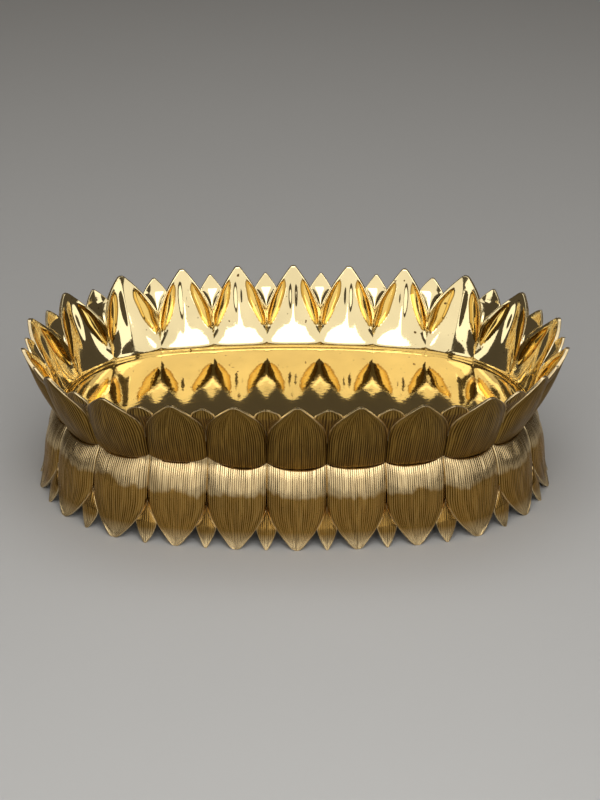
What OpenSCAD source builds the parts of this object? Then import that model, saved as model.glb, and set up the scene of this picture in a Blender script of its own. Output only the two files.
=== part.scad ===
// Brass urli: an oval basin with two rows of lotus petals brazed round it.
// The upper row is the wall of the basin and the lower row is the skirt that it stands on.
// Origin: centre of the footprint, on the surface that the bowl stands on. +X along the
// length, +Z up, -Y the front. A large petal of each row is centred on the front.

/* [Bowl] */
// Length over the upper tips, measured on the rim oval
bowl_l = 610; // [420:1:760]
// Width over the upper tips, measured on the rim oval
bowl_w = 390; // [300:1:480]
// Height of the large upper tips
bowl_h = 173; // [140:1:220]
// Height of the joint between the two rows, where neighbouring petals meet
waist_h = 89; // [70:1:105]
// Radius of the ends as a share of half the waist width
end_share = 0.92; // [0.80:0.01:0.96]

/* [Petals] */
// Large petals in each row, and as many small ones between them
petal_count = 22; // [14:2:22]
// Thickness of a large petal
wall = 4; // [2.5:0.1:6]
// Thickness of a small petal
small_wall = 3; // [2:0.1:4.5]
// Width left for the braze between two pieces
seam = 0.2; // [0.1:0.05:0.5]
// Width of the blunt tips of the large upper petals
tip_w = 5; // [3:0.1:8]
// Width of the tips of the small petals
small_tip_w = 3; // [2:0.1:5]
// Width of the blunt tips that the bowl stands on
foot_tip_w = 8; // [4:0.5:12]
// How far the joint between the rows dips at the middle of each petal
seam_dip = 4; // [1:0.5:6]

/* [Upper row] */
// How far the edges of the large petals lean out at the height of their tips
rim_lean = 24; // [10:0.5:40]
// How much less the wall leans out at the middle of the front
front_upright = 8; // [0:0.5:12]
// How far the middle of a large upper petal stands proud of its edges
upper_crown = 15; // [4:0.5:18]
// How far below their tips two neighbouring large upper petals part at the front
front_notch = 52; // [30:1:58]
// How far below their tips they part at the back
back_notch = 44; // [30:1:58]
// How far the small tips stand below the large ones at the front
front_small_drop = 3.5; // [0:0.5:12]
// How far they stand below at the back
back_small_drop = 7.5; // [0:0.5:12]
// How far below the large tips a small petal is widest at the front
front_small_wide = 15; // [12:0.5:30]
// How far below the large tips it is widest at the back
back_small_wide = 23; // [12:0.5:30]
// How far the middle of a small upper petal stands proud of its edges
small_upper_crown = 2; // [0.5:0.5:6]
// How full the outline of a front petal is above the notch: 1 is straight-sided
front_fullness = 2.2; // [1.1:0.05:2.5]
// How full the outline of a back petal is above the notch
back_fullness = 1.2; // [1.1:0.05:2.5]
// How full a small petal's outline is, as a share of a large one's
small_upper_full = 0.85; // [0.7:0.05:1.2]

/* [Lower row] */
// How far the skirt stands out just below the waist
shoulder = 11.5; // [4:0.5:14]
// How far the skirt stands out at the tips
foot_lean = 19; // [12:0.5:26]
// How far the middle of a large lower petal stands proud of its edges
lower_crown = 7; // [3:0.5:10]
// Height of the thick heel that the floor plate is brazed to
heel_h = 9; // [8:0.5:12]
// Height at which neighbouring large lower petals part
lower_notch_h = 46; // [35:1:58]
// Height at which a small lower petal is widest
small_lower_wide_h = 22; // [14:1:30]
// How far the middle of a small lower petal stands proud of its edges
small_lower_crown = 2; // [0.5:0.5:4]
// How full the outline of a lower petal is below the notch
lower_fullness = 1.5; // [1.1:0.05:2]

/* [Basin floor] */
// Thickness of the floor plate
floor_t = 3; // [2:0.5:5]
// Width of the flat bar that the floor plate rests on
bar_w = 12; // [8:1:20]
// Height of the flat bar
bar_t = 6; // [4:0.5:10]

/* [Hidden] */
// Straight sides of the floor's edge along each petal.
sides_per_petal = 8;

// The waist oval: two end arcs and two side arcs that run smoothly into each other.
waist_a = bowl_l / 2 - rim_lean - upper_crown;
waist_b = bowl_w / 2 - rim_lean - upper_crown;
end_r = end_share * waist_b;
end_c = waist_a - end_r;
side_c = (pow(end_c, 2) - pow(waist_b - end_r, 2)) / (2 * (waist_b - end_r));
side_r = waist_b + side_c;
side_turn = atan2(end_c, side_c);
side_run = side_r * side_turn * PI / 180;
end_run = end_r * (180 - 2 * side_turn) * PI / 180;
girth = 4 * side_run + 2 * end_run;
pitch = girth / petal_count;
// The front leans out less than the back, so the waist lies forward of the middle by half of that.
front_shift = front_upright / 2;

floor_top = waist_h - seam_dip;
floor_bottom = floor_top - floor_t;

// Grid of each petal: strips across, and strips from its root to its tip, or from a small
// one's widest place to its tip.
large_across = 8;
large_along = 10;
small_across = 4;
small_along = 3;

// How quickly the crowns and the shoulder swell from the waist, and how sharply the skirt
// turns out again at its tips.
upper_swell = 2;
lower_swell = 4;
shoulder_swell = 5;
foot_turn = 5;
// How flat the middles of the large petals are, before they roll in to their edges.
roll = 3;
// The wall stands more upright as it rises, and then its tips turn out again: the share of
// the lean that the tips make, and how sharply.
tip_share = 0.3;
tip_turn = 5;
// Half the width at which a small petal starts, deep between two large ones.
root_half_w = 0.8;
// The straighter stretch of the front reaches this many petals each way.
front_reach = 3;

UPPER_PETALS = [for (k = [0 : petal_count - 1]) str("upper_petal_", k < 9 ? "0" : "", k + 1)];
LOWER_PETALS = [for (k = [0 : petal_count - 1]) str("lower_petal_", k < 9 ? "0" : "", k + 1)];
SIDES = ["front", "right", "back", "left"];

// ---- the oval ----

// Which arc a place along the waist lies on: 0 front, 1 right end, 2 back, 3 left end.
function wrap(s) = s - girth * floor((s + side_run) / girth);
function arc_of(s) =
    s < side_run ? 0 :
    s < side_run + end_run ? 1 :
    s < 3 * side_run + end_run ? 2 : 3;
function arc_start(arc) = [-side_run, side_run, side_run + end_run, 3 * side_run + end_run][arc];
function arc_turn(arc) = [-side_turn, side_turn, 180 - side_turn, 180 + side_turn][arc];
function arc_radius(arc) = arc % 2 == 0 ? side_r : end_r;
function arc_centre(arc) = [[0, side_c], [end_c, 0], [0, -side_c], [-end_c, 0]][arc];

// The point a distance s along the waist from the front, out from it by n, at height z.
function on_arc(s, n, z, arc) =
    let (
        turn = arc_turn(arc) + (s - arc_start(arc)) / arc_radius(arc) * 180 / PI,
        reach = arc_radius(arc) + n,
        centre = arc_centre(arc)
    )
    [centre.x + reach * sin(turn), centre.y - reach * cos(turn) - front_shift, z];
function bowl_point(s, n, z) = on_arc(wrap(s), n, z, arc_of(wrap(s)));

// The flat oval that lies out from the waist by n.
module oval(n) {
    sides = petal_count * sides_per_petal;
    polygon([for (i = [0 : sides - 1])
        let (p = bowl_point(i * girth / sides, n, 0)) [p.x, p.y]
    ]);
}

// ---- the petals ----

// Across a petal x runs from -pitch / 2 to pitch / 2, and arch is 1 at its middle, 0 at the edges.
function arch(x) = 1 - pow(2 * abs(x) / pitch, roll);
function swell(t, power) = 1 - pow(1 - t, power);
function seam_z(x) = waist_h - seam_dip * (1 - pow(2 * x / pitch, 2));

// How far out the edges of the petals stand, at a height, in each row.
function front_share(s) = let (across = (wrap(s)) / (front_reach * pitch))
    abs(across) < 1 ? pow(1 - across * across, 2) : 0;
function upper_rise(z) = max(0, (z - waist_h) / (bowl_h - waist_h));
function upper_lean(s, z) = (rim_lean - front_upright * front_share(s)) * (
    (1 - tip_share) * swell(upper_rise(z), upper_swell) + tip_share * pow(upper_rise(z), tip_turn)
);
function drop_from(root_h, z) = max(0, (root_h - z) / root_h);
function lower_lean(root_h, z) =
    shoulder * swell(drop_from(root_h, z), shoulder_swell)
    + (foot_lean - shoulder) * pow(drop_from(root_h, z), foot_turn);

// How far out the skin of a large petal stands, x from its middle. The inside of a lower
// petal starts to swell below its heel.
function upper_skin(k, x, z) =
    upper_lean(k * pitch + x, z) + upper_crown * arch(x) * swell(upper_rise(z), upper_swell);
function lower_skin(root_h, x, z) =
    lower_lean(root_h, z) + lower_crown * arch(x) * swell(drop_from(root_h, z), lower_swell);

// Half the width of each kind of petal at a height.
function taper(z, wide_z, tip_z, half_w, tip_half_w, fullness) =
    let (t = min(1, max(0, (z - wide_z) / (tip_z - wide_z))))
    half_w + (tip_half_w - half_w) * pow(t, fullness);
large_half_w = (pitch - seam) / 2;
function lower_half_w(z) = taper(z, lower_notch_h, 0, large_half_w, foot_tip_w / 2, lower_fullness);
// The upper petals are cut differently round the bowl, but alike on both sides of joint j.
function at_joint(j, front, back) = back + (front - back) * (1 + cos(360 * j / petal_count)) / 2;
function upper_notch(j) = at_joint(j, front_notch, back_notch);
function upper_fullness(j) = at_joint(j, front_fullness, back_fullness);
function small_tip_h(j) = bowl_h - at_joint(j, front_small_drop, back_small_drop);
function small_wide_h(j) = bowl_h - at_joint(j, front_small_wide, back_small_wide);
function upper_half_w(j, z) =
    taper(z, bowl_h - upper_notch(j), bowl_h, large_half_w, tip_w / 2, upper_fullness(j));

// What a large petal leaves on its side of a notch at a height, less the seam.
function upper_gap(j, z) = pitch / 2 - upper_half_w(j, z) - seam;
function lower_gap(z) = pitch / 2 - lower_half_w(z) - seam;

// How far up or down from its notch a large petal leaves room for the root of a small one,
// as a share of the way to its tip.
function root_share(tip_half_w, fullness) =
    pow((root_half_w + seam / 2) / (large_half_w - tip_half_w), 1 / fullness);

// How far the edges of the large petals stand proud of the wall beside a small one.
function upper_edge(j, z) =
    upper_crown * arch(upper_half_w(j, z)) * swell(upper_rise(z), upper_swell);
function lower_edge(z) =
    lower_crown * arch(lower_half_w(z)) * swell(drop_from(waist_h, z), lower_swell);

// Heights of the rows of a petal's grid, evenly from one height to another.
function rows_to(from_z, to_z, count) = [for (r = [0 : count]) from_z + (to_z - from_z) * r / count];
// Rows of a small petal: level with those of the large ones up to where it is widest, so
// that their edges run side by side, and then evenly to its tip.
function small_rows(root_z, wide_z, tip_z, beside) = concat(
    [root_z],
    [for (z = beside) if ((z - root_z) * (z - wide_z) < 0) z],
    rows_to(wide_z, tip_z, small_along)
);

// Joins a grid of outer points to the same grid of inner points: rows run from root to tip.
module shell(outer, inner) {
    rows = len(outer);
    cols = len(outer[0]);
    size = rows * cols;
    function at(r, c) = r * cols + c;
    function quad(a, b, c, d) = [[c, b, a], [d, c, a]];
    points = concat([for (row = outer) each row], [for (row = inner) each row]);
    skins = [for (r = [0 : rows - 2], c = [0 : cols - 2]) each concat(
        quad(at(r, c), at(r, c + 1), at(r + 1, c + 1), at(r + 1, c)),
        quad(size + at(r, c), size + at(r + 1, c), size + at(r + 1, c + 1), size + at(r, c + 1))
    )];
    sides = [for (r = [0 : rows - 2]) each concat(
        quad(at(r, 0), at(r + 1, 0), size + at(r + 1, 0), size + at(r, 0)),
        quad(at(r, cols - 1), size + at(r, cols - 1), size + at(r + 1, cols - 1), at(r + 1, cols - 1))
    )];
    ends = [for (c = [0 : cols - 2]) each concat(
        quad(at(0, c), size + at(0, c), size + at(0, c + 1), at(0, c + 1)),
        quad(at(rows - 1, c), at(rows - 1, c + 1), size + at(rows - 1, c + 1), size + at(rows - 1, c))
    )];
    polyhedron(points, concat(skins, sides, ends));
}

module large_upper_petal(k) {
    function grid(depth) = [for (h = rows_to(waist_h, bowl_h, large_along))
        [for (c = [0 : large_across])
            let (
                side = 2 * c / large_across - 1,
                x = side * upper_half_w(k + sign(side) / 2, h),
                z = h + (seam_z(x) + seam / 2 - waist_h) * (1 - upper_rise(h))
            )
            bowl_point(k * pitch + x, upper_skin(k, x, z) - depth, z)
        ]
    ];
    shell(grid(0), grid(wall));
}

module large_lower_petal(k) {
    function grid(root_h, depth) = [for (h = rows_to(waist_h, 0, large_along))
        [for (c = [large_across : -1 : 0])
            let (
                x = (2 * c / large_across - 1) * lower_half_w(h),
                z = h + (seam_z(x) - seam / 2 - waist_h) * h / waist_h
            )
            bowl_point(k * pitch + x, lower_skin(root_h, x, z) - depth, z)
        ]
    ];
    shell(grid(waist_h, 0), grid(waist_h - heel_h, wall));
}

// A small petal fills notch j and rises to its own tip. Its skin is set back from that of
// the large ones, so that it lies in the middle of their thickness.
module small_petal(j, heights, half_widths, skins, crown) {
    recess = (wall - small_wall) / 2;
    turned = heights[0] < heights[1] ? 1 : -1;
    function grid(depth) = [for (r = [0 : len(heights) - 1]) [for (c = [0 : small_across])
        let (side = turned * (2 * c / small_across - 1))
        bowl_point(
            j * pitch + side * half_widths[r],
            skins[r] + crown * (1 - side * side) - depth,
            heights[r]
        )
    ]];
    shell(grid(recess), grid(recess + small_wall));
}

module small_upper_petal(j) {
    wide_h = small_wide_h(j);
    wide_gap = upper_gap(j, wide_h);
    heights = small_rows(
        bowl_h - upper_notch(j) * (1 - root_share(tip_w / 2, upper_fullness(j))),
        wide_h,
        small_tip_h(j),
        rows_to(waist_h, bowl_h, large_along)
    );
    small_petal(
        j,
        heights,
        [for (z = heights) z < wide_h ? upper_gap(j, z) : taper(
            z, wide_h, small_tip_h(j), wide_gap, small_tip_w / 2, small_upper_full * upper_fullness(j)
        )],
        [for (z = heights) upper_lean(j * pitch, z) + upper_edge(j, min(z, wide_h))],
        small_upper_crown
    );
}

module small_lower_petal(j) {
    wide_gap = lower_gap(small_lower_wide_h);
    heights = small_rows(
        lower_notch_h * (1 - root_share(foot_tip_w / 2, lower_fullness)),
        small_lower_wide_h,
        0,
        rows_to(waist_h, 0, large_along)
    );
    small_petal(
        j,
        heights,
        [for (z = heights) z > small_lower_wide_h ? lower_gap(z) :
            taper(z, small_lower_wide_h, 0, wide_gap, small_tip_w / 2, lower_fullness)],
        [for (z = heights) lower_lean(waist_h, z) + lower_edge(max(z, small_lower_wide_h))],
        small_lower_crown
    );
}

// ---- the nodes ----

module floor_plate() {
    color("goldenrod")
    translate([0, 0, floor_bottom]) linear_extrude(floor_t) oval(-wall - seam);
}

module waist_bar() {
    color("darkgoldenrod")
    translate([0, 0, floor_bottom - bar_t]) linear_extrude(bar_t) difference() {
        oval(-wall - seam);
        oval(-wall - seam - bar_w);
    }
}

module upper_petal(k) {
    color([0.55, 0.42, 0.18]) large_upper_petal(k);
}

module lower_petal(k) {
    color([0.76, 0.60, 0.28]) large_lower_petal(k);
}

// The joints after the large petals that lie on one side of the oval.
function joints_on(side) =
    [for (j = [0.5 : petal_count]) if (arc_of(wrap(j * pitch)) == side) j];

module small_upper_petals(side) {
    color([0.62, 0.48, 0.22]) for (j = joints_on(side)) small_upper_petal(j);
}

module small_lower_petals(side) {
    color([0.70, 0.55, 0.25]) for (j = joints_on(side)) small_lower_petal(j);
}

floor_plate();
waist_bar();
for (k = [0 : petal_count - 1]) {
    upper_petal(k);
    lower_petal(k);
}
for (side = [0 : 3]) {
    small_upper_petals(side);
    small_lower_petals(side);
}
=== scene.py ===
"""Oval brass urli with two rows of chased lotus petals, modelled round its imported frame."""

import math

import bmesh
import bpy
from bpy.props import FloatProperty, FloatVectorProperty, IntProperty, PointerProperty
from bpy.types import Operator, Panel, PropertyGroup
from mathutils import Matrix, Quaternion, Vector, noise


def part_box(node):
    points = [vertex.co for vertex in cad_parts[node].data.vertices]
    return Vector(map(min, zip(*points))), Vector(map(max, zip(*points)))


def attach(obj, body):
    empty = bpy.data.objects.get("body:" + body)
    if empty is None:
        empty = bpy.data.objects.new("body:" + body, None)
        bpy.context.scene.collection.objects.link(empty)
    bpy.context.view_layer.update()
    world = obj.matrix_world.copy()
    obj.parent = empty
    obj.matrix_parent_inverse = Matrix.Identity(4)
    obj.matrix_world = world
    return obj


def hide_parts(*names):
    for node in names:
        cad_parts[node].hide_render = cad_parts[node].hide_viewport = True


bl_info = {
    "name": "Lotus Urli",
    "version": (1, 0, 0),
    "blender": (4, 5, 0),
    "location": "View3D > Sidebar > Urli",
    "description": "Chased lotus petals, polished floor and studio for an oval brass urli",
    "category": "Add Mesh",
}

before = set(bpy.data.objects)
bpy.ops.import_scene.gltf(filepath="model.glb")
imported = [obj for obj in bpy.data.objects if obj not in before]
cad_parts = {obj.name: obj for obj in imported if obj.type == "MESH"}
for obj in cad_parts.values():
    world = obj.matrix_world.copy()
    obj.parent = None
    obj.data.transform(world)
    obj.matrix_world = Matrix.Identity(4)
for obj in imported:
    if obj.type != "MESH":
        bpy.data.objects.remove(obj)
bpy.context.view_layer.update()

# ---- places read from the frame, in metres ----

FLOOR_LOW, FLOOR_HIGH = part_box("floor_plate")
UPPER_LOW, UPPER_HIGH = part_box("upper_petal_01")
PETALS = sum(name.startswith("upper_petal_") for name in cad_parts)
SIDES = ("front", "right", "back", "left")


# ---- sizes and colours that a user would change ----


def length(name, words, default):
    """A length in metres with its name and description."""
    return FloatProperty(name=name, description=words, default=default, unit="LENGTH", precision=4)


def colour(name, words, default):
    """A base colour, linear."""
    return FloatVectorProperty(
        name=name, description=words, default=default, size=3, min=0, max=1, subtype="COLOR"
    )


def share(name, words, default):
    """A plain number, such as a share or an exponent."""
    return FloatProperty(name=name, description=words, default=default)


class UrliShape(PropertyGroup):
    wall: length("Wall", "Thickness of a large petal", 0.004)
    small_wall: length("Small wall", "Thickness of a small petal", 0.003)
    seam: length("Seam", "Width of the braze between two pieces", 0.0002)
    tip_width: length("Tip width", "Width of the large upper tips", 0.005)
    small_tip: length("Small tip", "Width of the small tips", 0.003)
    foot_width: length("Foot width", "Width of the tips that the bowl stands on", 0.008)
    seam_dip: length("Seam dip", "How far the joint between the rows dips at each petal", 0.004)
    end_share: share("End share", "Radius of the ends as a share of half the waist width", 0.92)
    rim_lean: length("Rim lean", "How far the petal edges lean out at the tips", 0.024)
    front_upright: length("Front upright", "How much less the middle of the front leans", 0.008)
    upper_crown: length("Upper crown", "How far an upper petal's middle stands proud", 0.015)
    front_notch: length("Front notch", "Depth of the upper notches at the front", 0.052)
    back_notch: length("Back notch", "Depth of the upper notches at the back", 0.044)
    front_drop: length("Front drop", "How far the small tips stand below at the front", 0.0035)
    back_drop: length("Back drop", "How far the small tips stand below at the back", 0.0075)
    front_wide: length("Front wide", "How far down a small front petal is widest", 0.015)
    back_wide: length("Back wide", "How far down a small back petal is widest", 0.023)
    small_crown: length("Small crown", "How far a small petal's middle stands proud", 0.002)
    front_fullness: share("Front fullness", "Fullness of a front petal's outline", 2.2)
    back_fullness: share("Back fullness", "Fullness of a back petal's outline", 1.2)
    small_full: share("Small fullness", "Fullness of a small petal next to a large one", 0.85)
    shoulder: length("Shoulder", "How far the skirt stands out below the waist", 0.0115)
    foot_lean: length("Foot lean", "How far the skirt stands out at the tips", 0.019)
    lower_crown: length("Lower crown", "How far a lower petal's middle stands proud", 0.007)
    heel: length("Heel", "Height of the thick heel of a lower petal", 0.009)
    lower_notch: length("Lower notch", "Height at which the lower petals part", 0.046)
    small_lower_wide: length("Small lower wide", "Height at which one is widest", 0.022)
    lower_fullness: share("Lower fullness", "Fullness of a lower petal's outline", 1.5)


class UrliChasing(PropertyGroup):
    lines: IntProperty(name="Lines", description="Chased lines on a large petal", default=27)
    small_lines: IntProperty(name="Small lines", description="Lines on a small petal", default=9)
    depth: length("Depth", "Depth of a chased line", 0.0006)
    sway: length("Sway", "How far the hand-cut lines wander", 0.0010)
    # Painted highlight: how far down the skirt the bright band of the shoulder is painted.
    painted_shoulder_highlight: length("Shoulder polish", "How far down the skirt is rubbed", 0.031)
    edge_round: length("Edge round", "Rounding of the outer edge of the rim", 0.0009)
    joint_round: length("Joint round", "How far a petal rolls in towards its neighbour", 0.0012)
    joint_width: length("Joint width", "How wide that roll is", 0.0030)
    bottom_round: length("Bottom round", "Rounding where an upper petal meets the waist", 0.0032)
    lip: length("Lip", "How far an upper petal's bottom stands over the lower row", 0.0022)
    dents: length("Dents", "Depth of the planishing marks inside", 0.0004)
    dent_size: length("Dent size", "Width of a planishing mark", 0.026)
    crease: length("Crease", "Depth of the crease inside each upper petal", 0.0026)
    hollow: length("Hollow", "Depth of the hollows beaten into the inside", 0.0016)
    flatter: length("Flatter", "How much thicker an upper petal is half way up", 0.0028)
    floor_wave: length("Floor wave", "Height of the slow waves of the floor plate", 0.0003)


class UrliFinish(PropertyGroup):
    # upper_face is the upper row's patina, darkened further as painted shade, so its outward and downward
    # faces stay dark over the pale ground.
    upper_face: colour("Upper face", "Antique brass of the upper row", (0.125, 0.066, 0.011))
    upper_ridge: colour("Upper ridge", "Rubbed ridges of the upper row", (0.48, 0.30, 0.072))
    lower_face: colour("Lower face", "Golden patina of the lower row", (0.22, 0.115, 0.022))
    lower_ridge: colour("Lower ridge", "Rubbed ridges of the lower row", (0.52, 0.33, 0.10))
    groove: colour("Groove", "Dark patina in the chased lines", (0.020, 0.010, 0.003))
    polish: colour("Polish", "Polished brass inside", (0.91, 0.75, 0.41))
    # The rim colour is also the painted highlight on the lower row's shoulder.
    rim: colour("Rim", "Filed brass of the rims", (0.88, 0.70, 0.40))
    floor: colour("Floor", "Polished brass of the floor plate", (0.90, 0.70, 0.32))
    bar: colour("Bar", "Plain brass underneath", (0.45, 0.32, 0.13))


class UrliStudio(PropertyGroup):
    ground: colour("Ground", "Colour of the floor under the bowl", (0.50, 0.495, 0.48))
    key: FloatProperty(name="Key", description="Wide softbox in front", default=16.5, unit="POWER")
    spot: FloatProperty(name="Spot", description="Small softbox in its middle", default=4, unit="POWER")
    top: FloatProperty(name="Top", description="Panel overhead", default=24, unit="POWER")
    side: FloatProperty(name="Side", description="Strips to both sides", default=3, unit="POWER")
    back: FloatProperty(name="Back", description="Softbox behind", default=5, unit="POWER")
    air: share("Air", "Strength of the light from all round", 0.08)
    lens: FloatProperty(
        name="Lens", description="Focal length", default=95.97, unit="CAMERA", subtype="DISTANCE_CAMERA"
    )
    distance: length("Distance", "Camera distance from the middle of the bowl", 2.4065)
    aim: length("Aim", "Height that the camera looks at", 0.0915)
    elevation: FloatProperty(
        name="Elevation", description="Camera height as an angle", default=math.radians(26.51), subtype="ANGLE"
    )
    turn: FloatProperty(
        name="Turn", description="Camera angle round the bowl", default=math.radians(-0.85), subtype="ANGLE"
    )
    tilt: FloatProperty(
        name="Tilt", description="Camera roll", default=math.radians(0.28), subtype="ANGLE"
    )


# How the petals were set by hand, from the front one round by the right end, in metres:
# each upper bottom above the plain joint, each corner after it above the plain one, and
# how much fuller than its neighbours each outline was cut.
BOTTOMS = [
    0.0002, 0.0012, 0.0010, 0.0006, 0.0014, 0.0004, 0.0010, 0.0018, 0.0005, 0.0011, 0.0002,
    0.0009, 0.0014, 0.0003, 0.0012, 0.0006, 0.0015, 0.0004, 0.0012, 0.0022, 0.0038, 0.0012,
]
CORNERS = [
    0.0016, 0.0012, 0.0034, 0.0020, 0.0026, 0.0015, 0.0022, 0.0010, 0.0028, 0.0016, 0.0022,
    0.0012, 0.0020, 0.0026, 0.0010, 0.0018, 0.0028, 0.0016, 0.0034, 0.0060, 0.0086, 0.0034,
]
FULLER = [
    -0.15, 0.0, 0.22, 0.10, -0.05, 0.08, 0.0, -0.04, 0.05, -0.03, 0.04,
    0.02, -0.04, 0.04, 0.0, -0.05, 0.05, 0.08, 0.0, 0.15, 0.25, 0.50,
]


# ---- the oval: two end arcs and two side arcs that run smoothly into each other ----


class Oval:
    """The waist of the bowl, followed by its length s from the middle of the front."""

    def __init__(self, half_length, half_width, end_share, middle):
        self.middle = middle
        self.end_r = end_share * half_width
        self.end_c = half_length - self.end_r
        gap = half_width - self.end_r
        self.side_c = (self.end_c**2 - gap**2) / (2 * gap)
        self.side_r = half_width + self.side_c
        turn = math.atan2(self.end_c, self.side_c)
        side_run = self.side_r * turn
        end_run = self.end_r * (math.pi - 2 * turn)
        self.girth = 4 * side_run + 2 * end_run
        self.starts = (-side_run, side_run, side_run + end_run, 3 * side_run + end_run)
        self.turns = (-turn, turn, math.pi - turn, math.pi + turn)
        self.radii = (self.side_r, self.end_r, self.side_r, self.end_r)
        self.centres = ((0, self.side_c), (self.end_c, 0), (0, -self.side_c), (-self.end_c, 0))

    def wrap(self, s):
        """s counted on from the start of the front arc."""
        return s - self.girth * math.floor((s - self.starts[0]) / self.girth)

    def arc(self, s):
        """0 front, 1 right end, 2 back, 3 left end."""
        place = self.wrap(s)
        return sum(place >= start for start in self.starts[1:])

    def point(self, s, out, z):
        """The point at length s, out from the waist and at height z."""
        arc = self.arc(s)
        turn = self.turns[arc] + (self.wrap(s) - self.starts[arc]) / self.radii[arc]
        reach = self.radii[arc] + out
        x, y = self.centres[arc]
        return Vector((x + reach * math.sin(turn), self.middle + y - reach * math.cos(turn), z))


def swell(t, power):
    """Rises quickly from 0 and levels off at 1."""
    return 1 - (1 - min(1.0, t)) ** power


def rounding(gap, radius):
    """How far a rounded edge falls away at a distance from the edge."""
    if radius <= 0 or gap >= radius:
        return 0.0
    return radius - math.sqrt(radius**2 - (radius - max(0.0, gap)) ** 2)


def smooth(t):
    """0 below 0, 1 above 1 and smooth between."""
    t = min(1.0, max(0.0, t))
    return t * t * (3 - 2 * t)


class Bowl:
    """The skins of the petals, worked out from the shape's sizes and the frame.

    The swells and turns are exponents: a swell bends the skin near the root of a petal and
    a turn bends it near the tip.
    """

    upper_swell = 2
    lower_swell = 4
    shoulder_swell = 5
    foot_turn = 5
    tip_turn = 5
    tip_share = 0.3
    front_reach = 3  # petals to each side of the front one over which the wall is steeper
    roll = 3  # exponent of a petal's cross-section
    scallop = 2.5  # exponent of the joint's dip at each petal

    def __init__(self, shape):
        self.shape = shape
        inset = shape.wall + shape.seam
        middle = (FLOOR_LOW.y + FLOOR_HIGH.y) / 2
        half_length = (FLOOR_HIGH.x - FLOOR_LOW.x) / 2 + inset
        half_width = (FLOOR_HIGH.y - FLOOR_LOW.y) / 2 + inset
        self.oval = Oval(half_length, half_width, shape.end_share, middle)
        self.pitch = self.oval.girth / PETALS
        self.floor = FLOOR_HIGH.z
        self.waist = self.floor + shape.seam_dip
        self.top = UPPER_HIGH.z
        self.half = self.pitch / 2

    def arch(self, x):
        """Cross-section of a large petal: 1 in its middle and 0 at its edges."""
        return 1 - min(1.0, abs(x / self.half)) ** self.roll

    def seam_z(self, k, x):
        """Height of the joint between the rows, x from the middle of petal k."""
        before, after = CORNERS[(k - 1) % PETALS], CORNERS[k % PETALS]
        corners = self.waist + before + (after - before) * (x / self.pitch + 0.5)
        dip = self.waist + (before + after) / 2 - self.floor - BOTTOMS[k % PETALS]
        return corners - dip * (1 - min(1.0, abs(x / self.half)) ** self.scallop)

    def rise(self, z):
        """0 at the waist and 1 at the upper tips."""
        return max(0.0, (z - self.waist) / (self.top - self.waist))

    def drop(self, root, z):
        """0 at the root of a lower petal and 1 at its tip."""
        return max(0.0, (root - z) / root)

    def upper_lean(self, s, z):
        """How far the upper row stands out from the waist at a petal's edge."""
        across = self.oval.wrap(s) / (self.front_reach * self.pitch)
        front = (1 - across**2) ** 2 if abs(across) < 1 else 0
        rise = self.rise(z)
        way = (1 - self.tip_share) * swell(rise, self.upper_swell)
        way += self.tip_share * rise**self.tip_turn
        return (self.shape.rim_lean - self.shape.front_upright * front) * way

    def lower_lean(self, root, z):
        """How far the skirt stands out from the waist at a petal's edge."""
        turned = self.shape.foot_lean - self.shape.shoulder
        fall = self.drop(root, z)
        return self.shape.shoulder * swell(fall, self.shoulder_swell) + turned * fall**self.foot_turn

    def upper_bulge(self, x, z):
        return self.shape.upper_crown * self.arch(x) * swell(self.rise(z), self.upper_swell)

    def lower_bulge(self, root, x, z):
        return self.shape.lower_crown * self.arch(x) * swell(self.drop(root, z), self.lower_swell)

    def at_joint(self, j, front, back):
        """A value at joint j, which changes smoothly from the front to the back."""
        return back + (front - back) * (1 + math.cos(math.tau * j / PETALS)) / 2

    def notch(self, j):
        """Height at which two upper petals part."""
        return self.top - self.at_joint(j, self.shape.front_notch, self.shape.back_notch)

    def fullness(self, k, j):
        """Exponent of petal k's outline on the side of joint j."""
        cut = self.at_joint(j, self.shape.front_fullness, self.shape.back_fullness)
        return cut + FULLER[k % PETALS]

    def upper_half(self, k, j, z):
        """Half the width of petal k on the side of joint j."""
        tip_half = self.shape.tip_width / 2
        return taper(z, self.notch(j), self.top, self.half, tip_half, self.fullness(k, j))

    def lower_half(self, z):
        """Half the width of a large lower petal."""
        shape = self.shape
        return taper(z, shape.lower_notch, 0, self.half, shape.foot_width / 2, shape.lower_fullness)


def taper(z, wide, tip, half, tip_half, fullness):
    """Half the width of a petal at a height, from its widest place to its tip."""
    t = min(1.0, max(0.0, (z - wide) / (tip - wide)))
    return half + (tip_half - half) * t**fullness


# ---- the petal mesh ----

EDGE_STEPS = (0.0, 0.3, 1.0)
OUTSIDE, INSIDE, RIM = 0, 1, 2


def spread(count, edge):
    """Places from -1 to 1 for a grid's lines: fine ones by both edges, even ones between."""
    inner = count - 2 * len(EDGE_STEPS)
    even = [-1 + edge + (2 - 2 * edge) * (i + 1) / (inner + 1) for i in range(inner)]
    near = [-1 + edge * step for step in EDGE_STEPS]
    return near + even + [-place for place in reversed(near)]


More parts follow.
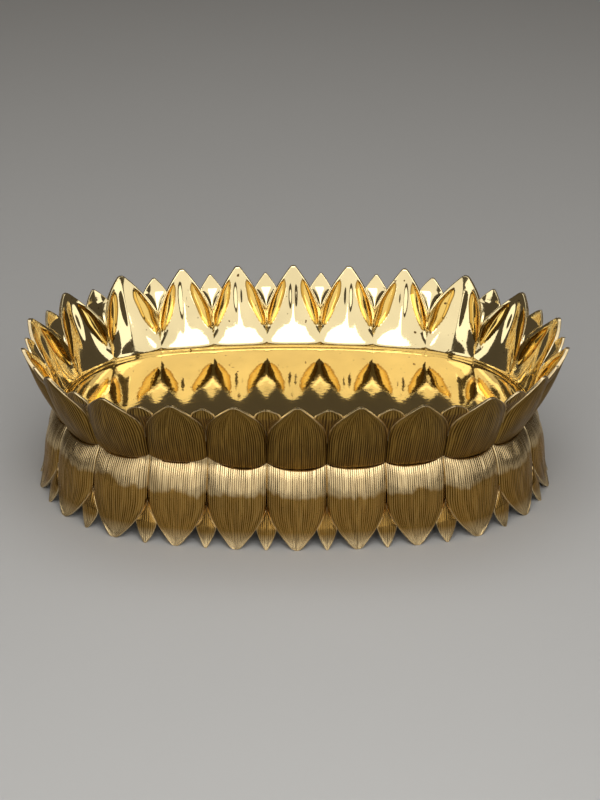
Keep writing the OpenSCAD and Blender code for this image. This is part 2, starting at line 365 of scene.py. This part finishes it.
def petal_mesh(name, columns, rows, outer, inner, materials):
    """A closed shell: a grid for each face, moved to its place, and a rim bridged between them.

    outer and inner give a point from a column's and a row's number. outer also gives how
    much of a ridge the point is, how deep it lies in a joint, and how worn it is together with
    the highlight painted on it; inner gives how deep it lies in one of the hollows beaten into
    the inside, which carry a painted reflection.
    """
    bm = bmesh.new()
    layers = [bm.verts.layers.float.new(layer) for layer in ("ridge", "joint", "wear_and_painted_light")]
    bmesh.ops.create_grid(bm, x_segments=columns - 1, y_segments=rows - 1, size=1)
    places = {
        vert: (
            round((vert.co.x + 1) / 2 * (columns - 1)),
            round((vert.co.y + 1) / 2 * (rows - 1)),
        )
        for vert in bm.verts
    }
    outside = list(bm.faces)
    copied = bmesh.ops.duplicate(bm, geom=bm.verts[:] + bm.edges[:] + bm.faces[:])
    pairs = copied["vert_map"]
    for vert, (column, row) in places.items():
        vert.co, values = outer(column, row)
        for layer, value in zip(layers, values):
            vert[layer] = value
        pairs[vert].co, hollow = inner(column, row)
        # The inside carries the hollow mask, which paints a reflection on the polished brass.
        pairs[vert][layers[2]] = hollow
    for face in bm.faces:
        face.material_index = INSIDE
    for face in outside:
        face.material_index = OUTSIDE
    border = [edge for edge in bm.edges if edge.is_boundary]
    bridged = bmesh.ops.bridge_loops(bm, edges=border)
    for face in bridged["faces"]:
        face.material_index = RIM
    bmesh.ops.recalc_face_normals(bm, faces=bm.faces[:])
    for face in bm.faces:
        face.smooth = True
    for edge in border:
        edge.smooth = False
    return finished(bm, name, materials)


def finished(bm, name, materials):
    """An object in the scene from a bmesh."""
    mesh = bpy.data.meshes.new(name)
    bm.to_mesh(mesh)
    bm.free()
    for material in materials:
        mesh.materials.append(material)
    piece = bpy.data.objects.new(name, mesh)
    bpy.context.scene.collection.objects.link(piece)
    return piece


class Petal:
    """One petal: its outline by height, its two skins and its chased lines.

    gather is the share by which the lines draw together at the tip. root_steps and tip_steps
    are the distances of the fine rows from both ends.
    """

    per_line = 4
    groove = (0.0, 0.35, 1.0, 0.60, 0.0)  # depth across one chased line
    gather = 0.4
    tip_round = 0.0012
    worn_edge = 0.0016
    full_depth = 0.006  # half width above which the lines are cut to their full depth
    root_steps = (0, 0.00025, 0.0007, 0.0014, 0.0023, 0.0034)
    tip_steps = (0.0024, 0.0014, 0.0006, 0.0002, 0)

    def __init__(self, bowl, chasing, station, seed):
        self.bowl, self.chasing, self.station, self.seed = bowl, chasing, station, seed

    def rows(self, root, middle, tip, before, after):
        """Row heights: close together at the root and the tip, even between."""
        way = 1 if tip > root else -1
        near = [root + way * step for step in self.root_steps]
        far = [tip - way * step for step in self.tip_steps]
        first = [near[-1] + (middle - near[-1]) * i / before for i in range(1, before)]
        return near + first + [middle + (far[0] - middle) * i / after for i in range(after)] + far

    def blunt(self, height):
        """Rounds off the corners of the tip."""
        left = abs(height - self.tip)
        if left >= self.tip_round:
            return 1.0
        return 0.3 + 0.7 * math.sqrt(1 - (1 - left / self.tip_round) ** 2)

    def bottom_rounding(self, gap):
        """How far the root falls away at a distance from its end."""
        return 0.0

    def joined(self, z):
        """1 where the petal's edges touch its neighbours, 0 where they are free."""
        return 0.0

    def wear_and_painted_light(self, x, z):
        """1 where the outside is rubbed bright and where a highlight is painted on it, 0 where it is dark."""
        return 0.0

    def hollow(self, x, z):
        """1 in the middle of a hollow on the inside, 0 outside it."""
        return 0.0

    def line_depth(self, x, z, column, full_half):
        """How deep the chased line is: 0 on a ridge and 1 in a groove."""
        closer = 1 - self.gather * abs((z - self.middle) / (self.tip - self.middle)) ** 1.5
        if (z - self.middle) * (self.tip - self.middle) < 0:
            closer = 1
        lines = self.lines / 2 * x / (full_half - self.chasing.edge_round) / closer
        phase = (lines + self.lines / 2) % 1 * self.per_line
        step = min(self.per_line - 1, int(phase))
        shape = self.groove[step] + (self.groove[step + 1] - self.groove[step]) * (phase - step)
        uneven = noise.noise(Vector((column * 0.31 + self.seed, z * 45, 2.5)))
        return shape * min(1.0, max(0.35, 0.85 + 0.6 * uneven))

    def build(self, name, lines, materials):
        """The petal as an object, with this many chased lines."""
        self.lines = lines
        columns = lines * self.per_line + 1 + 2 * (len(EDGE_STEPS) - 1)
        reach = [self.reach(height) for height in self.heights]
        full_half = max(max(pair) for pair in reach)
        radius = self.chasing.edge_round
        root, tip = self.heights[0], self.heights[-1]
        wander = [
            0.0003 * noise.noise(Vector((column * 0.37, self.seed * 5.3, 0.5)))
            for column in range(columns)
        ]
        places = []
        for row, height in enumerate(self.heights):
            left, right = reach[row]
            sides = spread(columns, min(0.4, 2 * radius / (left + right)))
            places.append([(side, side * (left if side < 0 else right)) for side in sides])

        def outer(column, row):
            height = self.heights[row]
            side, x = places[row][column]
            half = reach[row][0] if side < 0 else reach[row][1]
            inward = 1 - side**2
            z = self.height(x, height, False)
            sway = noise.noise(Vector((side * 2.3 + self.seed * 7.1, z * 30, self.seed * 3.7)))
            x += (self.chasing.sway * sway * 1.6 + wander[column]) * inward
            free = min(len(EDGE_STEPS) - 1, column, columns - 1 - column) == len(EDGE_STEPS) - 1
            cut = self.line_depth(x, z, column, full_half) if free else 0.0
            gap = (1 - abs(side)) * half
            joined = self.joined(height)
            joint = joined * max(0.0, 1 - gap / self.chasing.joint_width) ** 2
            out = self.skin(x, z, False) - cut * self.chasing.depth * min(1.0, half / self.full_depth)
            out -= rounding(min(gap, abs(height - tip)), min(radius, half / 2))
            out -= self.chasing.joint_round * joint + self.bottom_rounding(abs(height - root))
            edge = (1 - joined) * max(0.0, 1 - min(gap, abs(height - tip)) / self.worn_edge)
            # Rubbed edges, and on the lower row also the painted highlight of the shoulder.
            worn_and_lit = max(edge, self.wear_and_painted_light(x, z))
            s = self.station * self.bowl.pitch + x
            return self.bowl.oval.point(s, out, z), (1 - cut, joint, worn_and_lit)

        def inner(column, row):
            height = self.heights[row]
            side, x = places[row][column]
            half = reach[row][0] if side < 0 else reach[row][1]
            z = self.height(x, height, True)
            gap = min((1 - abs(side)) * half, abs(height - tip))
            soft = rounding(gap, min(radius / 2, half / 3)) * (1 - self.joined(height))
            s = self.station * self.bowl.pitch + x
            return self.bowl.oval.point(s, self.skin(x, z, True) + soft, z), self.hollow(x, z)

        return petal_mesh(name, columns, len(self.heights), outer, inner, materials)


class UpperPetal(Petal):
    """A large upright petal, which is also part of the basin's wall."""

    crease_width = 0.0045
    leaf_slant = 0.50  # how far a leaf leans towards the middle on its way up
    leaf_half_width = 0.25  # in half petals
    leaf_middle = 0.12  # height of its middle, 0 at the notch and 1 at the tip
    leaf_half_length = 0.56
    leaf_soft = 0.19

    def __init__(self, bowl, chasing, station, seed):
        super().__init__(bowl, chasing, station, seed)
        self.middle, self.tip = bowl.notch(station), bowl.top
        self.heights = self.rows(bowl.waist, self.middle, bowl.top, 11, 21)

    def reach(self, height):
        k = self.station
        return [
            self.bowl.upper_half(k, joint, height) * self.blunt(height) for joint in (k - 0.5, k + 0.5)
        ]

    def height(self, x, height, inside):
        bowl = self.bowl
        foot = bowl.floor if inside else bowl.seam_z(self.station, x)
        return height + (foot - bowl.waist) * (1 - bowl.rise(height))

    def joined(self, z):
        return 1 - smooth((z - self.middle - 0.002) / 0.014)

    def hollow(self, x, z):
        """The two leaf-shaped hollows beside the middle: 1 inside them and 0 outside. The inside is dented
        there, and a golden reflection is painted there.
        """
        way = (z - self.middle) / (self.tip - self.middle)
        drift = 0.05 * noise.noise(Vector((self.seed * 3.1, z * 60, math.copysign(4, x))))
        across = abs(x) / self.bowl.half - (0.86 - self.leaf_slant * (way + 0.4)) + drift
        along = 1 - ((way - self.leaf_middle) / self.leaf_half_length) ** 2
        half = self.leaf_half_width * math.sqrt(max(0.0, along))
        return smooth((half - abs(across)) / self.leaf_soft)

    def skin(self, x, z, inside):
        bowl = self.bowl
        out = bowl.upper_lean(self.station * bowl.pitch + x, z) + bowl.upper_bulge(x, z)
        rise = bowl.rise(z)
        arch = max(0.0, bowl.arch(x))
        if not inside:
            return out + self.chasing.lip * arch**0.5 * (1 - rise) ** 6
        crease = self.chasing.crease * math.exp(-((x / self.crease_width) ** 2))
        crease *= math.sin(math.pi * min(1, rise) ** 1.4) ** 2
        flatter = self.chasing.flatter * arch * math.sin(math.pi * min(1, rise)) ** 2
        size = self.chasing.dent_size
        spot = Vector(((self.station * bowl.pitch + x) / size, z / size, 9.1))
        dents = self.chasing.dents * noise.noise(spot) * min(1, rise * 4)
        hollow = self.chasing.hollow * self.hollow(x, z)
        return out - bowl.shape.wall - flatter + crease + dents + hollow

    def bottom_rounding(self, gap):
        return rounding(gap, self.chasing.bottom_round)


class LowerPetal(Petal):
    """A large hanging petal of the skirt."""

    tip_round = 0.0034
    gather = 0.5
    worn_tip = 0.024
    # Share of the rim colour in the shoulder's painted highlight.
    shoulder_highlight_strength = 0.8

    def __init__(self, bowl, chasing, station, seed):
        super().__init__(bowl, chasing, station, seed)
        self.middle, self.tip = bowl.shape.lower_notch, 0.0
        self.heights = self.rows(bowl.waist, self.middle, 0.0, 12, 16)

    def reach(self, height):
        half = self.bowl.lower_half(height) * self.blunt(height)
        return half, half

    def height(self, x, height, inside):
        bowl = self.bowl
        foot = bowl.floor if inside else bowl.seam_z(self.station, x)
        return height + (foot - bowl.shape.seam - bowl.waist) * height / bowl.waist

    def joined(self, z):
        return smooth((z - self.middle + 0.014) / 0.012)

    def wear_and_painted_light(self, x, z):
        """Bright over the shoulder, down to an uneven line, as a painted highlight; rubbed bright at the tip.
        """
        uneven = noise.noise(Vector((x * 45, self.seed * 2.7, 0.4)))
        uneven += 0.5 * noise.noise(Vector((x * 160, self.seed * 1.9, z * 70)))
        # The painted highlight of the shoulder ends at this uneven line.
        shoulder = self.bowl.waist - self.chasing.painted_shoulder_highlight - 0.009 * uneven
        tip = smooth((self.worn_tip - z) / 0.022)
        return max(tip, self.shoulder_highlight_strength * smooth((z - shoulder) / 0.006))

    def skin(self, x, z, inside):
        bowl = self.bowl
        root = bowl.waist - bowl.shape.heel if inside else bowl.waist
        out = bowl.lower_lean(root, z) + bowl.lower_bulge(root, x, z)
        return out - bowl.shape.wall if inside else out

    def bottom_rounding(self, gap):
        return rounding(gap, self.chasing.edge_round)


class SmallPetal(Petal):
    """A small petal in the notch after a large one, in the middle of the wall's thickness."""

    lap = 0.0004  # how far it reaches under the edges beside it
    gather = 0.3

    def neighbours(self, z):
        """Half the width of the large petal on each side, at a height."""
        raise NotImplementedError

    def base(self, z, half):
        """Where the large petals' outsides lie beside this one."""
        raise NotImplementedError

    def reach(self, height):
        bowl = self.bowl
        level = min(height, self.wide) if self.tip > self.wide else max(height, self.wide)
        gaps = [bowl.half - half + self.lap for half in self.neighbours(level)]
        tip_half = bowl.shape.small_tip / 2
        return [
            taper(height, self.wide, self.tip, gap, tip_half, self.fullness) * self.blunt(height)
            for gap in gaps
        ]

    def height(self, x, height, inside):
        return height

    def skin(self, x, z, inside):
        shape = self.bowl.shape
        level = min(z, self.wide) if self.tip > self.wide else max(z, self.wide)
        left, right = self.neighbours(level)
        side = x / max(0.001, self.bowl.half - min(left, right))
        out = self.base(z, (left + right) / 2) + shape.small_crown * max(0.0, 1 - side**2)
        recess = (shape.wall - shape.small_wall) / 2
        return out - recess - (shape.small_wall if inside else 0)


class SmallUpperPetal(SmallPetal):
    """A small petal between two upright ones."""

    def __init__(self, bowl, chasing, station, seed):
        super().__init__(bowl, chasing, station, seed)
        shape = bowl.shape
        self.wide = bowl.top - bowl.at_joint(station, shape.front_wide, shape.back_wide)
        self.tip = bowl.top - bowl.at_joint(station, shape.front_drop, shape.back_drop)
        self.middle = self.wide
        self.fullness = shape.small_full * bowl.fullness(int(station), station)
        self.heights = self.rows(bowl.notch(station), self.wide, self.tip, 10, 6)

    def neighbours(self, z):
        k = int(self.station)
        return [self.bowl.upper_half(beside, self.station, z) for beside in (k, k + 1)]

    def base(self, z, half):
        bowl = self.bowl
        rise = swell(bowl.rise(z), bowl.upper_swell)
        crown = bowl.shape.upper_crown * bowl.arch(half) * rise
        return bowl.upper_lean(self.station * bowl.pitch, z) + crown


class SmallLowerPetal(SmallPetal):
    """A small petal between two hanging ones."""

    worn_tip = 0.020

    def __init__(self, bowl, chasing, station, seed):
        super().__init__(bowl, chasing, station, seed)
        self.wide, self.tip = bowl.shape.small_lower_wide, 0.0
        self.middle = self.wide
        self.fullness = bowl.shape.lower_fullness
        self.heights = self.rows(bowl.shape.lower_notch, self.wide, 0.0, 10, 8)

    def neighbours(self, z):
        return self.bowl.lower_half(z), self.bowl.lower_half(z)

    def base(self, z, half):
        bowl = self.bowl
        return bowl.lower_lean(bowl.waist, z) + bowl.lower_bulge(bowl.waist, half, z)

    def wear_and_painted_light(self, x, z):
        return smooth((self.worn_tip - z) / 0.016)


# ---- materials ----

PITS = (0.16, 0.09, 0.03)
# Colours of the reflection painted into the leaf-shaped hollows inside the upper petals: deep gold, bright
# gold and a brown edge.
PAINTED_REFLECTION_GOLD = (0.70, 0.41, 0.075)
PAINTED_REFLECTION_BRIGHT = (0.86, 0.58, 0.16)
PAINTED_REFLECTION_EDGE = (0.34, 0.19, 0.035)
WAVE_HEIGHT = 0.0012
UPPER_ROUGHNESS = (0.32, 0.46)
LOWER_ROUGHNESS = (0.19, 0.29)


def new_material(name):
    """A material with its node tree and its Principled shader."""
    material = bpy.data.materials.new(name)
    material.use_nodes = True
    return material, material.node_tree, material.node_tree.nodes["Principled BSDF"]


def add(tree, kind, **sockets):
    """A node with some of its inputs set by name."""
    node = tree.nodes.new(kind)
    for name, value in sockets.items():
        node.inputs[name.replace("_", " ")].default_value = value
    return node


def noise_field(tree, scale, detail, stretch=(1, 1, 1)):
    """Noise over Object coordinates, optionally stretched."""
    where = tree.nodes.new("ShaderNodeTexCoord")
    mapping = tree.nodes.new("ShaderNodeMapping")
    mapping.inputs["Scale"].default_value = stretch
    field = add(tree, "ShaderNodeTexNoise", Scale=scale, Detail=detail)
    tree.links.new(where.outputs["Object"], mapping.inputs["Vector"])
    tree.links.new(mapping.outputs["Vector"], field.inputs["Vector"])
    return field.outputs["Fac"]


def steps(tree, value, low, high, out_low=0.0, out_high=1.0):
    """A value mapped from one range to another, with its ends held."""
    node = add(tree, "ShaderNodeMapRange")
    node.inputs["From Min"].default_value = low
    node.inputs["From Max"].default_value = high
    node.inputs["To Min"].default_value = out_low
    node.inputs["To Max"].default_value = out_high
    tree.links.new(value, node.inputs["Value"])
    return node.outputs["Result"]


def blend(tree, factor, first, second, mode="MIX"):
    """Two colours mixed by a factor. Each may be a colour or a socket."""
    node = tree.nodes.new("ShaderNodeMix")
    node.data_type = "RGBA"
    node.blend_type = mode
    if isinstance(factor, (int, float)):
        node.inputs[0].default_value = factor
    else:
        tree.links.new(factor, node.inputs[0])
    for socket, value in ((node.inputs[6], first), (node.inputs[7], second)):
        if hasattr(value, "links"):
            tree.links.new(value, socket)
        else:
            socket.default_value = (*value, 1)
    return node.outputs[2]


def bump(tree, height, strength, distance, normal=None):
    """A bump on top of another normal."""
    node = add(tree, "ShaderNodeBump", Strength=strength, Distance=distance)
    tree.links.new(height, node.inputs["Height"])
    if normal is not None:
        tree.links.new(normal, node.inputs["Normal"])
    return node.outputs["Normal"]


def metal(shader, tone, roughness, normal):
    """Brass: its colour, roughness and normal from nodes."""
    shader.inputs["Metallic"].default_value = 1
    tree = shader.id_data
    tree.links.new(tone, shader.inputs["Base Color"])
    tree.links.new(roughness, shader.inputs["Roughness"])
    tree.links.new(normal, shader.inputs["Normal"])


def attribute(tree, name):
    """One of the values that the petal meshes carry."""
    node = tree.nodes.new("ShaderNodeAttribute")
    node.attribute_name = name
    return node.outputs["Fac"]


def chased_material(name, face, ridge_colour, groove, rim, rough_low, rough_high):
    """Brass with dark patina in the chased lines and joints, rubbed ridges and edges, and a highlight painted
    over the lower row's shoulder.
    """
    material, tree, shader = new_material(name)
    ridge = attribute(tree, "ridge")
    cloud = noise_field(tree, 22, 4)
    fine = noise_field(tree, 700, 3)
    patches = steps(tree, cloud, 0.38, 0.62)
    ground = blend(tree, patches, face, tuple(channel * 1.5 for channel in face))
    raised = blend(tree, steps(tree, ridge, 0.5, 1.0, 0.0, 0.9), ground, ridge_colour)
    cut = blend(tree, steps(tree, ridge, 0.05, 0.55), groove, raised)
    speckled = blend(tree, steps(tree, fine, 0.58, 0.72, 0.0, 0.4), cut, groove)
    jointed = blend(tree, steps(tree, attribute(tree, "joint"), 0.4, 0.95), speckled, groove)
    # Rim colour where the ridges are worn, and on the lower shoulder's band as a painted highlight.
    rubbed = tree.nodes.new("ShaderNodeMath")
    rubbed.operation = "MULTIPLY"
    tree.links.new(steps(tree, attribute(tree, "wear_and_painted_light"), 0.1, 0.9, 0.0, 0.9), rubbed.inputs[0])
    tree.links.new(steps(tree, ridge, 0.1, 0.9), rubbed.inputs[1])
    worn_and_lit = blend(tree, rubbed.outputs[0], jointed, rim)
    rough = steps(tree, cloud, 0.3, 0.7, rough_low, rough_high)
    metal(shader, worn_and_lit, rough, bump(tree, fine, 0.25, 0.0002))
    return material


def polished_material(name, base, roughness, wave_scale):
    """Hand-polished brass: slow waves, faint scratches, small pits, and a golden reflection painted into the
    hollows.
    """
    material, tree, shader = new_material(name)
    wave = noise_field(tree, wave_scale, 2)
    scratch = noise_field(tree, 90, 4, (1, 9, 1))
    pits = noise_field(tree, 190, 1)
    pitted = steps(tree, pits, 0.745, 0.77)
    deeper = tuple(channel * 0.8 for channel in base)
    tint = blend(tree, steps(tree, wave, 0.35, 0.65, 0.0, 0.5), base, deeper)
    # Painted reflection: the hollows get a brown edge, then deep gold and bright gold, in place of the
    # neighbouring petals' reflections.
    hollow = attribute(tree, "wear_and_painted_light")
    outlined = blend(tree, steps(tree, hollow, 0.03, 0.12), tint, PAINTED_REFLECTION_EDGE)
    golden = blend(tree, steps(tree, hollow, 0.2, 0.45), outlined, PAINTED_REFLECTION_GOLD)
    painted_reflection = blend(tree, steps(tree, hollow, 0.75, 1.0), golden, PAINTED_REFLECTION_BRIGHT)
    tone = blend(tree, pitted, painted_reflection, PITS)
    rough = steps(tree, scratch, 0.4, 0.75, roughness, roughness + 0.06)
    normal = bump(tree, pits, 0.1, 0.0005, bump(tree, wave, 0.35, WAVE_HEIGHT))
    metal(shader, tone, rough, normal)
    return material


def filed_material(name, base):
    """Rims and tips rubbed bright, with file marks."""
    material, tree, shader = new_material(name)
    marks = noise_field(tree, 500, 3, (1, 1, 3))
    cloud = noise_field(tree, 40, 3)
    darker = tuple(channel * 0.55 for channel in base)
    tone = blend(tree, steps(tree, cloud, 0.4, 0.7, 0.0, 0.7), base, darker)
    metal(shader, tone, steps(tree, marks, 0.3, 0.7, 0.2, 0.38), bump(tree, marks, 0.2, 0.0002))
    return material


def plain_brass(name, base):
    """Unpolished brass underneath, dull and blotched."""
    material, tree, shader = new_material(name)
    cloud = noise_field(tree, 18, 5)
    grain = noise_field(tree, 300, 2, (1, 6, 1))
    dull = tuple(channel * 0.5 for channel in base)
    tone = blend(tree, steps(tree, cloud, 0.35, 0.65), base, dull)
    metal(shader, tone, steps(tree, grain, 0.3, 0.7, 0.35, 0.6), bump(tree, grain, 0.2, 0.0003))
    return material


def shared(name, make, *values):
    """The material of this name, made the first time it is asked for."""
    known = bpy.data.materials.get(name)
    return known or make(name, *(tuple(v) if hasattr(v, "__len__") else v for v in values))


def upper_materials(finish):
    """Outside, inside and rim of the upper row."""
    tones = (finish.upper_face, finish.upper_ridge, finish.groove, finish.rim)
    outside = (*tones, *UPPER_ROUGHNESS)
    return [
        shared("Antique Chased Brass", chased_material, *outside),
        shared("Polished Inside Brass", polished_material, finish.polish, 0.05, 25),
        shared("Filed Rim Brass", filed_material, finish.rim),
    ]


def lower_materials(finish):
    """Outside, inside and rim of the lower row."""
    tones = (finish.lower_face, finish.lower_ridge, finish.groove, finish.rim)
    outside = (*tones, *LOWER_ROUGHNESS)
    return [
        shared("Golden Chased Brass", chased_material, *outside),
        shared("Plain Brass", plain_brass, finish.bar),
        shared("Filed Rim Brass", filed_material, finish.rim),
    ]


# ---- operators ----


def ready(context):
    """The bowl of the scene's sizes, its chasing and its finish."""
    scene = context.scene
    return Bowl(scene.urli_shape), scene.urli_chasing, scene.urli_finish


def stand_for(piece, node):
    """Ties a piece to the bowl in place of a node of the frame."""
    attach(piece, "root")
    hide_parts(node)


class URLI_OT_upper_petals(Operator):
    """Makes the large upright petals, chased outside and polished inside"""

    bl_idname = "urli.upper_petals"
    bl_label = "Upper Petals"

    def execute(self, context):
        bowl, chasing, finish = ready(context)
        materials = upper_materials(finish)
        for k in range(PETALS):
            petal = UpperPetal(bowl, chasing, k, k + 1)
            piece = petal.build(f"chased_upper_petal_{k + 1:02d}", chasing.lines, materials)
            stand_for(piece, f"upper_petal_{k + 1:02d}")
        return {"FINISHED"}


class URLI_OT_lower_petals(Operator):
    """Makes the large hanging petals of the skirt"""

    bl_idname = "urli.lower_petals"
    bl_label = "Lower Petals"

    def execute(self, context):
        bowl, chasing, finish = ready(context)
        materials = lower_materials(finish)
        for k in range(PETALS):
            petal = LowerPetal(bowl, chasing, k, k + 41)
            piece = petal.build(f"chased_lower_petal_{k + 1:02d}", chasing.lines, materials)
            stand_for(piece, f"lower_petal_{k + 1:02d}")
        return {"FINISHED"}


class URLI_OT_small_petals(Operator):
    """Makes the small petals that fill the notches of both rows"""

    bl_idname = "urli.small_petals"
    bl_label = "Small Petals"

    def execute(self, context):
        bowl, chasing, finish = ready(context)
        rows = (
            ("upper", SmallUpperPetal, upper_materials(finish)),
            ("lower", SmallLowerPetal, lower_materials(finish)),
        )
        for row, kind, materials in rows:
            for k in range(PETALS):
                side = SIDES[bowl.oval.arc((k + 0.5) * bowl.pitch)]
                name = f"chased_small_{row}_petal_{k + 1:02d}"
                petal = kind(bowl, chasing, k + 0.5, k + 81)
                piece = petal.build(name, chasing.small_lines, materials)
                stand_for(piece, f"small_{row}_petals_{side}")
        return {"FINISHED"}


class URLI_OT_floor(Operator):
    """Makes the polished floor plate, a little uneven from planishing, and finishes the bar"""

    bl_idname = "urli.floor"
    bl_label = "Floor"

    across = 110
    still_edge = 12  # exponent: the waves die out towards the wall
    quick_share = 0.12

    def execute(self, context):
        bowl, chasing, finish = ready(context)
        bm = bmesh.new()
        bmesh.ops.create_grid(bm, x_segments=self.across, y_segments=self.across, size=1)
        middle = Vector((0, bowl.oval.middle, bowl.floor))
        inset = -bowl.shape.wall - bowl.shape.seam
        for vert in bm.verts:
            x, y = vert.co.x, vert.co.y
            flat = Vector((x * math.sqrt(1 - y * y / 2), y * math.sqrt(1 - x * x / 2)))
            turn = math.atan2(flat.x, -flat.y)
            out = min(1.0, flat.length)
            edge = bowl.oval.point(turn / math.tau * bowl.oval.girth, inset, bowl.floor)
            spot = middle + (edge - middle) * out
            slow = noise.noise(Vector((spot.x * 16, spot.y * 16, 1.7)))
            quick = noise.noise(Vector((spot.x * 60, spot.y * 60, 4.2)))
            wave = slow + quick * self.quick_share
            spot.z += wave * chasing.floor_wave * (1 - out**self.still_edge)
            vert.co = spot
        top = list(bm.faces)
        below = bmesh.ops.extrude_face_region(bm, geom=top, use_keep_orig=True)
        lowered = [item for item in below["geom"] if isinstance(item, bmesh.types.BMVert)]
        for vert in lowered:
            vert.co.z = FLOOR_LOW.z
        bmesh.ops.recalc_face_normals(bm, faces=bm.faces[:])
        for face in bm.faces:
            face.smooth = abs(face.normal.z) > 0.5
        floor = shared("Mirror Floor Brass", polished_material, finish.floor, 0.04, 11)
        stand_for(finished(bm, "mirror_floor", [floor]), "floor_plate")
        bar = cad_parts["waist_bar"]
        bar.data.materials.clear()
        bar.data.materials.append(shared("Plain Brass", plain_brass, finish.bar))
        return {"FINISHED"}


class URLI_OT_stage(Operator):
    """Sets the pale ground, the soft lights and the camera"""

    bl_idname = "urli.stage"
    bl_label = "Stage"

    lights_aim = 0.1  # height that the lights face
    sky_colour = (1.0, 0.86, 0.68, 1)
    sensor = 36
    shift = (0.0063, -0.0014)
    ground_reach = 40

    def softbox(self, name, turn, elevation, distance, size, power):
        """A panel that faces the bowl, turned round it from the front and raised by degrees."""
        light = bpy.data.lights.new(name, "AREA")
        light.shape = "RECTANGLE"
        light.size, light.size_y = size
        light.energy = power
        lamp = bpy.data.objects.new(name, light)
        turn, elevation = math.radians(turn), math.radians(elevation)
        level = math.cos(elevation)
        away = Vector((math.sin(turn) * level, -math.cos(turn) * level, math.sin(elevation)))
        lamp.location = Vector((0, 0, self.lights_aim)) + away * distance
        lamp.rotation_euler = (-away).to_track_quat("-Z", "Y").to_euler()
        bpy.context.scene.collection.objects.link(lamp)

    def camera(self, studio):
        """Turned round the bowl, raised and rolled; it looks at the middle of the floor."""
        level = math.cos(studio.elevation)
        back = Vector(
            (math.sin(studio.turn) * level, -math.cos(studio.turn) * level, math.sin(studio.elevation))
        )
        data = bpy.data.cameras.new("Camera")
        data.lens = studio.lens
        data.sensor_width = self.sensor
        data.shift_x, data.shift_y = self.shift
        camera = bpy.data.objects.new("Camera", data)
        middle = (FLOOR_LOW + FLOOR_HIGH) / 2
        camera.location = Vector((middle.x, middle.y, studio.aim)) + back * studio.distance
        camera.rotation_mode = "QUATERNION"
        roll = Quaternion((0, 0, 1), studio.tilt)
        camera.rotation_quaternion = (-back).to_track_quat("-Z", "Y") @ roll
        bpy.context.scene.collection.objects.link(camera)
        bpy.context.scene.camera = camera

    def ground(self, studio):
        """A wide pale ground, faintly clouded."""
        bm = bmesh.new()
        bmesh.ops.create_grid(bm, x_segments=1, y_segments=1, size=self.ground_reach)
        material, tree, shader = new_material("Studio Ground")
        paler = tuple(min(1, channel * 1.03) for channel in studio.ground)
        tone = blend(tree, noise_field(tree, 3, 3), tuple(studio.ground), paler)
        tree.links.new(tone, shader.inputs["Base Color"])
        shader.inputs["Roughness"].default_value = 0.7
        finished(bm, "studio_ground", [material])

    def execute(self, context):
        studio = context.scene.urli_studio
        self.camera(studio)
        self.ground(studio)
        lights = (
            # name, degrees round, degrees up, distance, width and height, power
            ("key_softbox", 0, 31, 1.7, (2.7, 2.04), studio.key),
            ("spot_softbox", 4, 44, 1.5, (0.8, 0.75), studio.spot),
            ("top_panel", 0, 90, 2.6, (2.6, 2.6), studio.top),
            ("right_strip", 62, 20, 2.2, (0.8, 0.9), studio.side),
            ("left_strip", -62, 20, 2.2, (0.8, 0.9), studio.side),
            ("back_softbox", 180, 64, 2.3, (2.2, 1.0), studio.back),
        )
        for light in lights:
            self.softbox(*light)
        world = bpy.data.worlds.new("Studio Air")
        world.use_nodes = True
        sky = world.node_tree.nodes["Background"]
        sky.inputs["Color"].default_value = self.sky_colour
        sky.inputs["Strength"].default_value = studio.air
        context.scene.world = world
        context.scene.view_settings.view_transform = "Standard"
        return {"FINISHED"}


class URLI_PT_maker(Panel):
    """Buttons for each group of pieces"""

    bl_label = "Lotus Urli"
    bl_idname = "URLI_PT_maker"
    bl_space_type = "VIEW_3D"
    bl_region_type = "UI"
    bl_category = "Urli"

    def draw(self, context):
        for operator in OPERATORS:
            self.layout.operator(operator.bl_idname)
        for group in GROUPS:
            settings = getattr(context.scene, group)
            for name in settings.bl_rna.properties.keys():
                if name not in {"rna_type", "name"}:
                    self.layout.prop(settings, name)


GROUPS = {
    "urli_shape": UrliShape,
    "urli_chasing": UrliChasing,
    "urli_finish": UrliFinish,
    "urli_studio": UrliStudio,
}
OPERATORS = (
    URLI_OT_upper_petals,
    URLI_OT_lower_petals,
    URLI_OT_small_petals,
    URLI_OT_floor,
    URLI_OT_stage,
)


def register():
    for group in (*GROUPS.values(), *OPERATORS, URLI_PT_maker):
        bpy.utils.register_class(group)
    for name, group in GROUPS.items():
        setattr(bpy.types.Scene, name, PointerProperty(type=group))


def unregister():
    for name in GROUPS:
        delattr(bpy.types.Scene, name)
    for group in reversed((*GROUPS.values(), *OPERATORS, URLI_PT_maker)):
        bpy.utils.unregister_class(group)


def main():
    register()
    for operator in OPERATORS:
        category, name = operator.bl_idname.split(".")
        getattr(getattr(bpy.ops, category), name)()


if __name__ == "__main__":
    main()
